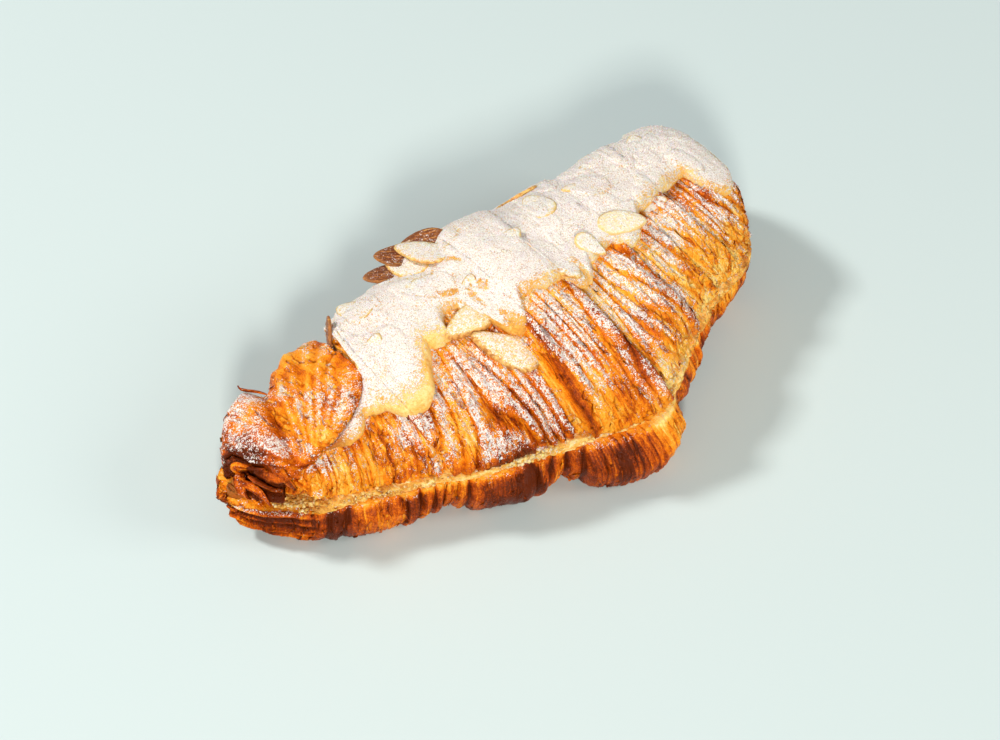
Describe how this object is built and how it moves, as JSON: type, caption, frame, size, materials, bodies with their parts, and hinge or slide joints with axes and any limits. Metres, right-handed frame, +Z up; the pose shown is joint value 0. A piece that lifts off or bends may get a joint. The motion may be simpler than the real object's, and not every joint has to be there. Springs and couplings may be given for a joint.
{
  "type": "almond croissant",
  "caption": "Baked croissant, split and filled, with lobed rolled tiers, an almond cream topping that ran down its front and sliced almonds set in it.",
  "frame": {"origin": "middle of the footprint's bounding box, at the height of the flat underside", "axes": "+X along the croissant, from its narrow end towards its broad end; +Y from its bulging front, where the split shows, towards its back; +Z up"},
  "size_m": [0.1894, 0.0944, 0.0535],
  "materials": {
    "lower_half": "baked laminated dough, orange brown, browner on its edges",
    "almond_filling": "baked almond cream, pale and crumbly",
    "upper_half": "baked laminated dough, golden to orange brown, dusted with icing sugar",
    "almond_topping": "baked almond cream and sliced almonds under icing sugar"
  },
  "bodies": {
    "root": {"lower_half": "lower_half", "almond_filling": "almond_filling", "upper_half": "upper_half", "almond_topping": "almond_topping"}
  },
  "joints": []
}
